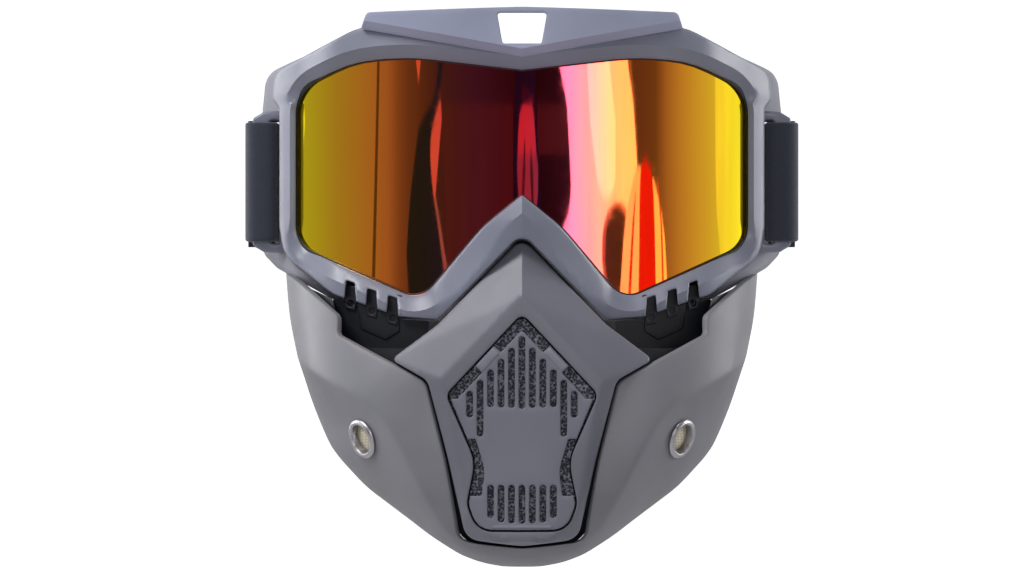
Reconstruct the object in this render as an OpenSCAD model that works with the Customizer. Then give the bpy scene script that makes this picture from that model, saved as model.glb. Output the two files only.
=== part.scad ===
// Motorcycle goggles with a detachable face mask.
// +X is to the right as seen from the front, +Y runs from the lens back to the wearer, and +Z is up.
// Left and right in the names are as seen from the front.
// The origin is the centre of the face seal, between the eyes, where the foam meets the brow.

/* [Lens and goggle frame] */
// Radius of the lens's outer face, about a vertical axis
lens_r = 105; // [100:1:112]
// Thickness of the lens
lens_t = 1.8; // [1.2:0.1:2.2]
// How far the lens's front stands ahead of the face seal
lens_forward = 45; // [44:0.5:46]
// How far the frame's face stands proud of the lens
frame_proud = 5.5; // [4:0.5:6]
// Width of the lens opening at its half height, from the centre
aperture_half_w = 75.5; // [74:0.5:76]

/* [Face seal] */
// Radius of the wearer's face, in plan, that the foam fits
face_r = 115; // [110:1:130]
// Thickness of the face foam
foam_t = 12; // [9:1:13]
// Wall thickness of the soft skirt
skirt_t = 2.6; // [2:0.1:3]

/* [Strap] */
// Width of the elastic strap
strap_w = 40; // [36:1:40]
// Thickness of the elastic strap
strap_t = 2; // [1.6:0.1:2.2]
// Half the distance between the strap's two sides
strap_half = 91; // [91:0.5:92]
// Length of the strap's straight sides, back from the face seal
strap_straight = 95; // [90:1:110]

/* [Face mask] */
// Wall thickness of the mask's shells
shell_t = 2.2; // [1.8:0.1:2.4]
// How square the mask is in plan: 2 is an ellipse
squareness = 2.6; // [2.4:0.1:2.8]
// Y of the grille's front face
grille_front = -62; // [-63:0.5:-61]
// Outside diameter of the vent eyelets
eyelet_d = 13.2; // [12:0.2:14]

/* [Hidden] */
$fn = 64;
far = 200;                                   // longer than anything here, for cutting tools
drum_y = lens_r - lens_forward;              // Y of the lens's axis
frame_r = lens_r + frame_proud;              // the frame's front face
frame_back_r = lens_r - 4;                   // the frame's back face
gasket_t = 0.8;
lens_lap = 3;                                // how far the lens reaches under the frame's lip
slot_x = 81.2;                               // inner side of the strap slot
slot_w = 3.2;
bar_w = 5.8;                                 // strap bar, across and through
bar_t = 4.2;
slot_half_h = strap_w / 2 + 1.6;
post_half_h = slot_half_h + 2;               // half height over the posts that carry the bar

// Half outlines run from the top centre round the right side to the bottom centre,
// as [x, z, corner radius] seen from the front.
aperture = mirrored([[0, 36.3, 0], [37, 40.7, 80], [56, 39.5, 40], [aperture_half_w, 30.5, 13],
                     [aperture_half_w, -21.3, 10], [33.5, -39.8, 8.5], [13, -15.5, 40], [0, -5, 0]]);
frame_outline = mirrored([[0, 42.5, 0], [52, 52, 20], [83.5, 36.5, 6], [85, -18, 6], [80, -26.5, 10],
                          [61, -38.2, 20], [44, -45, 5], [27.7, -45.8, 1.5], [0, -17, 5]]);
skirt_outline = mirrored([[0, 41.5, 0], [52, 50.5, 20], [79, 39.5, 4], [86.3, 36, 6], [88, 20.9, 1],
                          [79.8, 20.8, 1], [79.8, -22.5, 1], [88.2, -21, 1], [86.8, -24.5, 3], [82.5, -28.8, 8], [63, -39.5, 20],
                          [44, -46.2, 5], [27.5, -46.6, 2], [0, -18, 5]]);
skirt_inside = grown(mirrored([[0, 41.5, 0], [52, 50.5, 20], [79.8, 40, 10], [79.8, -27.5, 10],
                               [62, -39.5, 20], [44, -46, 6], [27.5, -46, 5], [0, -18, 5]]), -skirt_t);
foam_inside = mirrored([[0, 32, 0], [50, 40, 20], [73, 31, 12], [73, -20, 12], [58, -31, 20], [43, -37, 5],
                        [30, -36.5, 8], [0, -9, 6]]);
plate_outline = mirrored([[0, 56.6, 0], [10, 56.5, 0], [50.3, 55.4, 1.5], [52.5, 50.5, 0.5], [0, 42.2, 0]]);
plate_window = mirrored([[0, 55, 0], [8.2, 55, 0.8], [6.3, 44.9, 0.8], [0, 44.9, 0]]);
panel_outline = mirrored([[0, -19.2, 4], [28, -48, 3], [43.2, -59.2, 1.5], [31, -66, 5],
                          [24.2, -92, 60], [18.4, -118.2, 6], [0, -120.4, 15]]);
panel_seat = mirrored([[0, -18.5, 4], [90, -18.5, 0], [90, -25, 0], [74.5, -33.4, 3], [61.8, -44.6, 1.5],
                       [60.4, -51, 1], [43.2, -60.2, 1], [31.8, -66.4, 5], [25, -92, 60], [19.1, -119, 6], [0, -121.2, 15]]);
grille_outline = mirrored([[0, -44.4, 2.2], [24.6, -70.6, 3.2], [15, -92.5, 14], [17.9, -106.5, 7],
                           [14.5, -115.2, 7], [0, -115.3, 40]]);
carrier_outline = mirrored([[0, -18, 4], [28, -47.2, 2], [37, -58, 3], [58, -56.5, 2], [63, -39.2, 1],
                            [71, -35.6, 4], [75.5, -33.9, 0.5], [73, -47, 6], [62, -62, 4], [38, -74, 8],
                            [27, -98, 40], [20, -120, 12], [0, -124, 20]]);
upstand_outline = [[28.6, -58, 0], [28.6, -46.6, 0.5], [44.5, -45.8, 0], [44.5, -38.6, 0.8], [54.5, -38.6, 0.8],
                   [54.5, -41.6, 0], [63, -38.9, 1], [64, -58, 0]];
tongue_outline = [[40, -42, 0], [55, -38, 0], [53.5, -49.3, 1], [45.2, -52.9, 0.6], [40.6, -50, 1]];

// The mask's horizontal sections, from its top rim down to the chin: [z, half width, front y, rear y]
mask_rows = [[-32, 79.5, -50, 16], [-50, 77, -56, 14], [-66, 73, -59, 10], [-85, 65, -60, 2],
             [-100, 53.5, -59.5, -8], [-112, 39, -57, -18], [-121, 25, -53, -28], [-126.4, 13, -47, -34]];
section_steps = 30;                          // facets across the mask
row_steps = 21;                              // facets down the mask
eyelet_at = [3.05, 48.4];                    // row and angle of an eyelet's centre

// Grille slots: pitch and width, and how the upper row's tops fall away from the middle
slot_pitch = 3.43;
slot_wide = 2.1;
upper_top = -51.5;
upper_fall = 3.6;
upper_ends = [-75.2, -75.2, -75.1, -74.9, -84.3, -78.2];
lower_top = -100.2;
lower_ends = [-112.9, -112.8, -112.5, -111];

function unit(v) = v / norm(v);
function flat(p) = [p[0], p[1]];
function around(list, i) = list[(i + len(list)) % len(list)];

// One corner of an outline, as an arc of its radius
function corner(a, p, b) =
    let (u = unit(flat(a) - flat(p)), v = unit(flat(b) - flat(p)), half = acos(max(-1, min(1, u * v))) / 2)
    p[2] == 0 || half > 89.7 ? [flat(p)] :
    let (reach = p[2] / tan(half),
         centre = flat(p) + unit(u + v) * p[2] / sin(half),
         first = flat(p) + u * reach - centre,
         last = flat(p) + v * reach - centre,
         start = atan2(first[1], first[0]),
         sweep = (atan2(last[1], last[0]) - start + 540) % 360 - 180,
         steps = max(2, ceil(abs(sweep) / 15)))
    [for (i = [0 : steps]) centre + p[2] * [cos(start + sweep * i / steps), sin(start + sweep * i / steps)]];

function rounded(points) =
    [for (i = [0 : len(points) - 1]) each corner(around(points, i - 1), points[i], around(points, i + 1))];

function mirrored(half) =
    concat(half, [for (i = [len(half) - 1 : -1 : 0]) if (half[i][0] > 0) [-half[i][0], half[i][1], half[i][2]]]);

function flipped(points) = [for (i = [len(points) - 1 : -1 : 0]) [-points[i][0], points[i][1], points[i][2]]];

// An outline grown outwards by d, or shrunk if d is negative, with its corner radii kept concentric
function grown(points, d) =
    [for (i = [0 : len(points) - 1])
        let (p = points[i],
             u = unit(flat(p) - flat(around(points, i - 1))),
             v = unit(flat(around(points, i + 1)) - flat(p)),
             nu = [-u[1], u[0]], nv = [-v[1], v[0]],
             turn = u[0] * v[1] - u[1] * v[0],
             at = flat(p) + (nu + nv) * d / (1 + nu * nv),
             r = p[2] == 0 ? 0 : max(0.2, p[2] + (turn < 0 ? d : -d)))
        [at[0], at[1], r]];

// A prism along Y, with an outline seen from the front
module prism(points, y0 = -80, y1 = 60) {
    translate([0, y1, 0]) rotate([90, 0, 0]) linear_extrude(y1 - y0) polygon(rounded(points));
}

module ring(outside, inside, y0 = -80, y1 = 60) {
    difference() {
        prism(outside, y0, y1);
        prism(inside, y0 - 1, y1 + 1);
    }
}

// Everything within r of the lens's axis, and of the wearer's face
module drum(r) { translate([0, drum_y, -far / 2]) cylinder(r = r, h = far, $fn = 180); }
module face_drum(r) { translate([0, face_r, -far / 2]) cylinder(r = r, h = far, $fn = 180); }

module shell_between(r_in, r_out) {
    difference() {
        drum(r_out);
        drum(r_in);
    }
}

module both_sides() {
    children();
    mirror([1, 0, 0]) children();
}

// ---- Goggles ----

module lens() {
    color("darkorange") intersection() {
        shell_between(lens_r - lens_t, lens_r);
        prism(grown(aperture, lens_lap));
    }
}

module lens_gasket() {
    color("black") intersection() {
        shell_between(lens_r, lens_r + gasket_t);
        ring(grown(aperture, lens_lap), grown(aperture, -0.6));
    }
}

// The three vent notches in the frame's lower edge, each with a drain hole
notch_at = [[42.5, -42.6], [49.5, -40.6], [57, -38.2]];
module vent_notch(x, z) {
    translate([x - 2.2, -60, z - 5]) cube([4.4, 60 - front_depth(x) + 1.6, 8.2]);
    translate([x, -20, z - 1.6]) rotate([90, 0, 0]) cylinder(r = 0.9, h = 40);
}
function front_depth(x) = sqrt(frame_r * frame_r - x * x) - drum_y;

module strap_wing() {
    bar_x = slot_x + slot_w;
    difference() {
        translate([80, -3.2, -post_half_h]) cube([bar_x + bar_w - 80, bar_t + 1, 2 * post_half_h]);
        translate([79, -10, -slot_half_h]) cube([slot_x + slot_w - 79, 20, 2 * slot_half_h]);
        translate([bar_x - 1, -10, -slot_half_h]) cube([20, 10 - 2.2, 2 * slot_half_h]);
        translate([bar_x + 4, -10, slot_half_h - 0.1]) rotate([0, 40, 0]) cube([12, 20, 20]);
        translate([bar_x + 4, -10, -slot_half_h + 0.1]) mirror([0, 0, 1]) rotate([0, 40, 0]) cube([12, 20, 20]);
    }
}

module outer_frame() {
    tab_gap = 0.35;
    color("dimgray") difference() {
        union() {
            intersection() {
                shell_between(frame_back_r, frame_r);
                prism(frame_outline);
            }
            intersection() {                  // the ridge down the nose bridge
                hull() {
                    translate([-0.4, -56.5, -25]) cube([0.8, 10, 21]);
                    translate([-22, -48.2, -46]) cube([44, 1, 42]);
                }
                prism(frame_outline);
            }
            both_sides() strap_wing();
            both_sides() intersection() {     // the tongue that steadies the mask
                shell_between(frame_r - 1.4, frame_r - 0.2);
                prism(tongue_outline);
            }
        }
        prism(aperture);
        intersection() {                      // the groove that the lens snaps into
            shell_between(lens_r - lens_t, lens_r + gasket_t);
            prism(grown(aperture, lens_lap + 0.2));
        }
        both_sides() {                        // room for the strap in front of the bar and through the slot
            translate([slot_x, -40, -slot_half_h]) cube([60, 37.6, 2 * slot_half_h]);
            translate([slot_x, -40, -slot_half_h]) cube([slot_w, 60, 2 * slot_half_h]);
        }
        both_sides() for (n = notch_at) vent_notch(n[0], n[1]);
        both_sides() intersection() {         // the socket for the mask's tab
            shell_between(lens_r - 0.5 - tab_gap, lens_r + 2 + tab_gap);
            translate([44.5 - tab_gap, -60, -60]) cube([10 + 2 * tab_gap, 60, 21.8]);
        }
    }
}

module brow_plate() {
    color("slategray") intersection() {
        shell_between(frame_r, frame_r + 3.2);
        ring(plate_outline, plate_window);
    }
}

// Breathing slots through the skirt's roof and floor: first x, last x, front y, back y, lowest z
vent_slots = [[12, 26, -31.5, -24, 30], [33, 46, -24, -16.5, 30], [34, 46, -24, -17, -60]];
module vent_blocks(margin) {
    for (s = vent_slots) translate([s[0] - margin, s[2] - margin, s[4]])
        cube([s[1] - s[0] + 2 * margin, s[3] - s[2] + 2 * margin, 30]);
}

module face_skirt() {
    color("gray") difference() {
        intersection() {
            drum(frame_back_r);
            prism(skirt_outline);
        }
        intersection() {
            drum(frame_back_r - 2.4);
            prism(skirt_inside);
        }
        prism(grown(aperture, 1));
        face_drum(face_r + foam_t);
        both_sides() vent_blocks(0);
        both_sides() translate([79.9, -20, -post_half_h - 0.3]) cube([20, 22.3, 2 * post_half_h + 0.6]);
    }
}

module vent_foam() {
    inside = grown(skirt_inside, -0.05);
    color("black") both_sides() intersection() {
        ring(inside, grown(inside, -2.5), -35, -14);
        vent_blocks(1.5);
    }
}

module face_foam() {
    color("black") intersection() {
        difference() {
            face_drum(face_r + foam_t);
            face_drum(face_r);
        }
        ring(skirt_outline, foam_inside);
    }
}

// ---- Strap ----

// A band of constant thickness along a rounded open path in plan
function ribbon(path, t) =
    let (n = len(path),
         way = [for (i = [0 : n - 1]) unit(path[min(i + 1, n - 1)] - path[max(i - 1, 0)])],
         side = [for (w = way) [-w[1], w[0]] * t / 2])
    concat([for (i = [0 : n - 1]) path[i] + side[i]], [for (i = [n - 1 : -1 : 0]) path[i] - side[i]]);

function open_rounded(points) =
    [for (i = [0 : len(points) - 1])
        each i == 0 || i == len(points) - 1 ? [flat(points[i])] : corner(points[i - 1], points[i], points[i + 1])];

// One side's loop, from its sewn end forward through the slot, round the bar and back
strap_inner = strap_half - 4;
slot_middle = slot_x + slot_w / 2 - 0.1;
bar_outside = slot_x + slot_w + bar_w + 1.7;
loop_path = open_rounded([[strap_inner, 76, 0], [strap_inner, 22, 20], [slot_middle, 8, 12],
                          [slot_middle, -4.6, 2.2], [bar_outside, -4.6, 3.4], [bar_outside, 10, 14],
                          [strap_half, 24, 20], [strap_half, strap_straight, 0]]);
module strap() {
    turns = 40;
    back = [for (i = [1 : turns - 1])
        [strap_half * cos(180 * i / turns), strap_straight + strap_half * sin(180 * i / turns)]];
    left = [for (i = [len(loop_path) - 1 : -1 : 0]) [-loop_path[i][0], loop_path[i][1]]];
    color("darkslategray") translate([0, 0, -strap_w / 2])
        linear_extrude(strap_w) polygon(ribbon(concat(loop_path, back, left), strap_t));
}

// A slider that holds the strap's two layers side by side
adjuster_y = 48;
module strap_adjuster() {
    gap = 0.4;
    tall = strap_w + 3.2;
    color("black") difference() {
        translate([strap_inner - 2.6, adjuster_y, -tall / 2]) cube([strap_half - strap_inner + 5.2, 12, tall]);
        for (x = [strap_inner, strap_half])
            translate([x - strap_t / 2 - gap, adjuster_y - 1, -strap_w / 2 - gap])
                cube([strap_t + 2 * gap, 14, strap_w + 2 * gap]);
    }
}
module strap_adjuster_right() { strap_adjuster(); }
module strap_adjuster_left() { mirror([1, 0, 0]) strap_adjuster(); }

// ---- Mask ----

// Smooth curve through the mask's rows: s is 0 at the top rim and counts rows downwards
function spline(a, b, c, d, t) =
    0.5 * (2 * b + (c - a) * t + (2 * a - 5 * b + 4 * c - d) * t * t + (3 * b - a - 3 * c + d) * t * t * t);
function mask_row(s) =
    let (last = len(mask_rows) - 1, i = min(last - 1, floor(s)))
    spline(mask_rows[max(0, i - 1)], mask_rows[i], mask_rows[i + 1], mask_rows[min(last, i + 2)], s - i);
// A point on the mask's surface, o outside it, at angle a from the middle
function mask_point(s, a, o) =
    let (row = mask_row(s), power = 2 / squareness)
    [(row[1] + o) * sign(a) * pow(abs(sin(a)), power),
     row[3] - (row[3] - row[2] + o) * pow(abs(cos(a)), power),
     row[0]];
function mask_angle(i) = -90 + 180 * i / section_steps;
function mask_grid(o) =
    [for (j = [0 : row_steps], i = [0 : section_steps])
        mask_point((len(mask_rows) - 1) * j / row_steps, mask_angle(i), o)];

// The space inside the mask's surface, with its flat back open face closed
module mask_solid(o) {
    across = section_steps + 1;
    top = [for (i = [section_steps : -1 : 0]) i];
    bottom = [for (i = [0 : section_steps]) row_steps * across + i];
    walls = [for (j = [0 : row_steps - 1], i = [0 : section_steps - 1])
        let (p = j * across + i) each [[p, p + across + 1, p + across], [p, p + 1, p + across + 1]]];
    back = [for (j = [0 : row_steps - 1])
        let (p = j * across, q = p + section_steps) each [[p, q + across, q], [p, p + across, q + across]]];
    polyhedron(points = mask_grid(o), faces = concat([top, bottom], walls, back));
}

// The layer of the mask between two depths, from o_out to o_in
module mask_layer(o_out, o_in) {
    count = (section_steps + 1) * (row_steps + 1);
    across = section_steps + 1;
    last = row_steps * across;
    outer = [for (j = [0 : row_steps - 1], i = [0 : section_steps - 1])
        let (p = j * across + i) each [[p, p + across + 1, p + across], [p, p + 1, p + across + 1]]];
    inner = [for (f = outer) [f[2] + count, f[1] + count, f[0] + count]];
    ends = [for (i = [0 : section_steps - 1])
        each [[i, i + 1 + count, i + 1], [i, i + count, i + 1 + count],
              [last + i + 1, last + i + count, last + i], [last + i + 1, last + i + 1 + count, last + i + count]]];
    sides = [for (j = [0 : row_steps - 1])
        let (p = j * across, q = p + section_steps)
        each [[p + across, p + count, p], [p + across, p + across + count, p + count],
              [q, q + across + count, q + across], [q, q + count, q + across + count]]];
    polyhedron(points = concat(mask_grid(o_out), mask_grid(o_in)), faces = concat(outer, inner, ends, sides));
}

// Puts children on the right cheek, with their +Z along the surface's outward normal
module at_eyelet() {
    here = mask_point(eyelet_at[0], eyelet_at[1], 0);
    along = mask_point(eyelet_at[0], eyelet_at[1] + 1, 0) - mask_point(eyelet_at[0], eyelet_at[1] - 1, 0);
    down = mask_point(eyelet_at[0] + 0.1, eyelet_at[1], 0) - mask_point(eyelet_at[0] - 0.1, eyelet_at[1], 0);
    n = unit(cross(along, down)) * -1;
    out = n[0] > 0 ? n : -n;
    translate(here) rotate([0, acos(out[2]), atan2(out[1], out[0])]) children();
}

module mask_shell() {
    color("gray") difference() {
        mask_layer(0, -shell_t);
        prism(panel_seat);
        both_sides() at_eyelet() translate([0, 0, -6]) cylinder(d = eyelet_d - 2, h = 12);
    }
}

// How deep the panel's edge walls run behind its face, where nothing else closes them
panel_wall = 9;

// The panel's outside: a flat front with the grille, falling back to the shell all round
module panel_body(back) {
    y = grille_front + back;
    hull() both_sides() for (p = [[0, -50, -19], [0, -62, -38], [28, -61, -66.5], [25, -62, -72],
                                  [20, -62, -92], [17, -62, -109], [9, -62, -119.5],
                                  [29.5, -51.5, -46], [45.5, -49, -59], [36, -55, -68], [26, -57, -92],
                                  [20, -56, -116], [10, -55, -124], [0, -54.5, -124]])
        translate([p[0], p[1] + 62 + y, p[2]]) rotate([-90, 0, 0]) cylinder(r = 0.01, h = 30, $fn = 4);
}

module nose_panel() {
    color("gray") difference() {
        intersection() {
            panel_body(0);
            prism(panel_outline);
        }
        intersection() {
            panel_body(shell_t);
            prism(grown(panel_outline, -shell_t));
        }
        panel_body(panel_wall);
        mask_solid(-shell_t);
        translate([-20, -48, -34]) cube([40, 20, 20]);    // room for the carrier's tip
        prism(grown(grille_outline, 0.3));
    }
}

module inner_carrier() {
    color("black") difference() {
        union() {
            intersection() {
                mask_layer(-shell_t - 0.1, -shell_t - 2);
                prism(carrier_outline);
            }
            intersection() {                  // the tip, above the mask's own top rim
                prism(carrier_outline, -47.6, -46.5);
                translate([-20, -60, -34]) cube([40, 40, 20]);
            }
            for (shape = [upstand_outline, flipped(upstand_outline)]) intersection() {
                shell_between(lens_r - 0.5, lens_r + 2);
                prism(shape);
            }
            both_sides() difference() {       // the shelf between the layer and the upstand
                intersection() {
                    mask_solid(-shell_t - 0.1);
                    translate([34, -70, -58]) cube([27, 60, 2.5]);
                }
                drum(lens_r + 1);
            }
        }
        prism(grown(grille_outline, 2));
    }
}

module nose_pad() {
    band = mirrored([[0, -27, 4], [30, -57.5, 3], [22, -63, 3], [0, -41, 4]]);
    color("black") intersection() {
        mask_layer(-shell_t - 2.1, -shell_t - 7);
        prism(band);
    }
}

// The cover on the mask's inside that keeps the filter from the mouth
module filter_cover() {
    plate_y = grille_front + 12;
    color("black") difference() {
        union() {
            prism(grown(grille_outline, 1.2), plate_y, plate_y + 1.4);
            ring(grown(grille_outline, 1.2), grown(grille_outline, 0.4), plate_y - 3.6, plate_y + 0.1);
        }
        for (x = [-12 : 4 : 12]) for (z = [-72, -90, -108])
            translate([x, plate_y + 5, z]) rotate([90, 0, 0]) cylinder(d = 2.6, h = 10);
        for (x = [-8 : 4 : 8]) for (z = [-60, -81, -99])
            translate([x, plate_y + 5, z]) rotate([90, 0, 0]) cylinder(d = 2.6, h = 10);
    }
}

module eyelet() {
    at_eyelet() rotate_extrude() polygon([[eyelet_d / 2 - 1.7, -3.9], [eyelet_d / 2 - 1.05, -3.9],
        [eyelet_d / 2 - 1.05, 0.35], [eyelet_d / 2, 0.35], [eyelet_d / 2 - 0.5, 1.1],
        [eyelet_d / 2 - 1.3, 1.2], [eyelet_d / 2 - 1.7, 0.7]]);
}
module eyelet_right() { color("silver") eyelet(); }
module eyelet_left() { color("silver") mirror([1, 0, 0]) eyelet(); }

module eyelet_washer() {
    at_eyelet() translate([0, 0, -3.8]) difference() {
        cylinder(d = eyelet_d, h = 0.7);
        translate([0, 0, -1]) cylinder(d = eyelet_d - 2, h = 3);
    }
}
module eyelet_washer_right() { color("silver") eyelet_washer(); }
module eyelet_washer_left() { color("silver") mirror([1, 0, 0]) eyelet_washer(); }

// The woven wire screen inside an eyelet
module eyelet_gauze() {
    at_eyelet() translate([0, 0, -1.6]) cylinder(d = eyelet_d - 3.42, h = 0.6);
}
module eyelet_gauze_right() { color("tan") eyelet_gauze(); }
module eyelet_gauze_left() { color("tan") mirror([1, 0, 0]) eyelet_gauze(); }

// ---- Grille insert ----

module grille_slot(x, top, bottom) {
    r = slot_wide / 2;
    translate([x, grille_front + 10, 0]) rotate([90, 0, 0]) linear_extrude(20) {
        translate([-r, bottom + r]) square([slot_wide, top - bottom - slot_wide]);
        for (z = [bottom + r, top - r]) translate([0, z]) circle(r = r, $fn = 24);
    }
}

// The gap over the peak, and the gaps at each upper corner and each side of the waist, where the foam shows
peak_gap = mirrored([[0, -40, 0], [10.1, -53.7, 0], [6.9, -56.8, 0], [0, -49.4, 1.2]]);
edge_gaps = [[[16.3, -60.3, 0], [27, -71.9, 0], [20.9, -71.9, 0.5], [13.1, -63.3, 0]],
             [[30, -85.1, 0], [30, -103.8, 0], [13.3, -103.8, 0], [12.1, -95.5, 14], [15.2, -85.1, 0]]];

module vent_grille() {
    grille_t = 2.2;
    color("dimgray") difference() {
        union() {
            prism(grille_outline, grille_front, grille_front + grille_t);
            both_sides() translate([13, grille_front + 1, -60]) rotate([0, 45, 0])
                translate([-3, 0, -1.6]) cube([6, 4, 1.2]);
            translate([-5, grille_front + 1, -115.2]) cube([10, 4, 1.2]);
        }
        for (i = [-5 : 5]) grille_slot(i * slot_pitch, upper_top - upper_fall * abs(i), upper_ends[abs(i)]);
        for (i = [-3 : 3]) grille_slot(i * slot_pitch, lower_top, lower_ends[abs(i)]);
        both_sides() for (gap = edge_gaps) prism(gap);
        prism(peak_gap);
    }
}

module filter_foam() {
    color("black") difference() {
        prism(grown(grille_outline, -0.2), grille_front + 2.25, grille_front + 9);
        both_sides() translate([13, grille_front + 1, -60]) rotate([0, 45, 0])
            translate([-3.3, 0, -1.9]) cube([6.6, 4.3, 4]);
        translate([-5.3, grille_front + 1, -116]) cube([10.6, 4.3, 2.3]);
    }
}

outer_frame();
brow_plate();
lens();
lens_gasket();
face_skirt();
face_foam();
vent_foam();
strap();
strap_adjuster_left();
strap_adjuster_right();
mask_shell();
nose_panel();
inner_carrier();
nose_pad();
filter_cover();
eyelet_left();
eyelet_right();
eyelet_washer_left();
eyelet_washer_right();
eyelet_gauze_left();
eyelet_gauze_right();
vent_grille();
filter_foam();
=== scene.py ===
import math

import bmesh
import bpy
import numpy as np
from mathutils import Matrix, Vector
from mathutils.geometry import delaunay_2d_cdt


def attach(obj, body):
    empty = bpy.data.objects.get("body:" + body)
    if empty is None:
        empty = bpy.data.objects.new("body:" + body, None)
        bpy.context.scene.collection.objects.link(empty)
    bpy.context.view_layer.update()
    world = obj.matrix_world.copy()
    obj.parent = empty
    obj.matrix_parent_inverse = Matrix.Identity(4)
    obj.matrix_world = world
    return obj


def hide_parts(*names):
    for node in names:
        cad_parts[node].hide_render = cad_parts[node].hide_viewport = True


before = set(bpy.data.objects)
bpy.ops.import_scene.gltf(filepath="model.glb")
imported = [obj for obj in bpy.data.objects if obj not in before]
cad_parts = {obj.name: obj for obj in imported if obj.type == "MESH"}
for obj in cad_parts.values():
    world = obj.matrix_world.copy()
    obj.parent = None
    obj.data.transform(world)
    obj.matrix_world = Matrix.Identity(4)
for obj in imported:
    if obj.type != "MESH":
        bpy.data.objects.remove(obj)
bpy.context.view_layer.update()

scene = bpy.context.scene
norm = np.linalg.norm
MM = 0.001
# Twice the area of the smallest triangle that a flat face keeps
SLIVER = 4e-4
SIDES = ((1, "right"), (-1, "left"))

# -------- outlines, in millimetres, seen from the front


def corner(a, p, b):
    """One corner of an outline, as an arc of its radius."""
    a, b, c, r = np.array(a[:2], float), np.array(b[:2], float), np.array(p[:2], float), p[2]
    u, v = (a - c) / norm(a - c), (b - c) / norm(b - c)
    half = math.acos(max(-1, min(1, float(u @ v)))) / 2
    if r == 0 or half > math.radians(89.7):
        return [c]
    reach = r / math.tan(half)
    w = (u + v) / norm(u + v)
    centre = c + w * r / math.sin(half)
    first, last = c + u * reach - centre, c + v * reach - centre
    start = math.atan2(first[1], first[0])
    sweep = (math.atan2(last[1], last[0]) - start + 3 * math.pi) % (2 * math.pi) - math.pi
    steps = max(3, int(abs(sweep) / math.radians(9)) + 1)
    steps = min(steps, max(3, int(abs(sweep) * r / 0.35)))
    return [centre + r * np.array([math.cos(start + sweep * i / steps), math.sin(start + sweep * i / steps)])
            for i in range(steps + 1)]


def mirrored(half):
    """A half outline and its mirror image, as one closed outline."""
    return list(half) + [(-p[0], p[1], p[2]) for p in reversed(half) if p[0] > 0]


def flipped(points):
    """An outline seen in a mirror, still in the same sense of turn."""
    return [(-p[0],) + tuple(p[1:]) for p in reversed(points)]


def resampled(points, step):
    """The same closed line with no stretch longer than step."""
    out = []
    for i, p in enumerate(points):
        q = points[(i + 1) % len(points)]
        n = max(1, int(math.ceil(norm(q - p) / step)))
        out += [p + (q - p) * k / n for k in range(n)]
    return np.array(out)


def outline(points, step=1.5):
    """A closed outline of (x, z, corner radius) as a dense line."""
    n = len(points)
    dense = []
    for i in range(n):
        dense += corner(points[i - 1], points[i], points[(i + 1) % n])
    keep = [p for i, p in enumerate(dense) if norm(p - dense[i - 1]) > 0.02]
    return resampled(keep, step)


def grown(points, d):
    """A clockwise outline of rounded corners, grown outwards by d."""
    out, n = [], len(points)
    for i, p in enumerate(points):
        a, c, b = (np.array(points[(i + k) % n][:2], float) for k in (-1, 0, 1))
        u, v = (c - a) / norm(c - a), (b - c) / norm(b - c)
        nu, nv = np.array([-u[1], u[0]]), np.array([-v[1], v[0]])
        turn = u[0] * v[1] - u[1] * v[0]
        at = c + (nu + nv) * d / (1 + nu @ nv)
        out.append((at[0], at[1], 0 if p[2] == 0 else max(0.2, p[2] + (d if turn < 0 else -d))))
    return out


def inside(points, loop):
    """Which of the points are inside the loop."""
    points, loop = np.asarray(points, float), np.asarray(loop, float)
    x, z = points[:, 0][:, None], points[:, 1][:, None]
    x0, z0 = loop[:, 0][None], loop[:, 1][None]
    x1, z1 = np.roll(loop[:, 0], -1)[None], np.roll(loop[:, 1], -1)[None]
    crosses = (z0 > z) != (z1 > z)
    with np.errstate(divide="ignore", invalid="ignore"):
        at = x0 + (z - z0) * (x1 - x0) / (z1 - z0)
    return (np.sum(crosses & (x < at), axis=1) % 2).astype(bool)


def within(points, loops):
    """Which of the points are inside the first loop and outside the others."""
    good = inside(points, loops[0])
    for hole in loops[1:]:
        good &= ~inside(points, hole)
    return good


def distance(points, line, closed=True):
    """Distance of each point from a line."""
    points, line = np.asarray(points, float), np.asarray(line, float)
    a = line if closed else line[:-1]
    b = np.roll(line, -1, axis=0) if closed else line[1:]
    ab = b - a
    best = np.full(len(points), 1e9)
    for start in range(0, len(points), 4000):
        p = points[start:start + 4000][:, None, :]
        t = np.clip(np.sum((p - a) * ab, axis=2) / np.maximum(np.sum(ab * ab, axis=1), 1e-12), 0, 1)
        d = norm(p - a - t[..., None] * ab, axis=2)
        best[start:start + 4000] = d.min(axis=1)
    return best


def ramp(t):
    """A smooth step from 0 to 1."""
    t = np.clip(t, 0, 1)
    return t * t * (3 - 2 * t)


# -------- building solids


def make(name, verts, faces, material, smooth=38):
    """A mesh object from points in millimetres, sharp where its faces meet at more than smooth degrees."""
    mesh = bpy.data.meshes.new(name)
    mesh.from_pydata([tuple(float(c) * MM for c in v) for v in verts], [], [tuple(f) for f in faces])
    bm = bmesh.new()
    bm.from_mesh(mesh)
    bmesh.ops.remove_doubles(bm, verts=bm.verts, dist=0.002 * MM)
    bmesh.ops.recalc_face_normals(bm, faces=bm.faces)
    bm.to_mesh(mesh)
    bm.free()
    mesh.polygons.foreach_set("use_smooth", [True] * len(mesh.polygons))
    mesh.set_sharp_from_angle(angle=math.radians(smooth))
    mesh.materials.append(material)
    obj = bpy.data.objects.new(name, mesh)
    scene.collection.objects.link(obj)
    return obj


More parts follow.
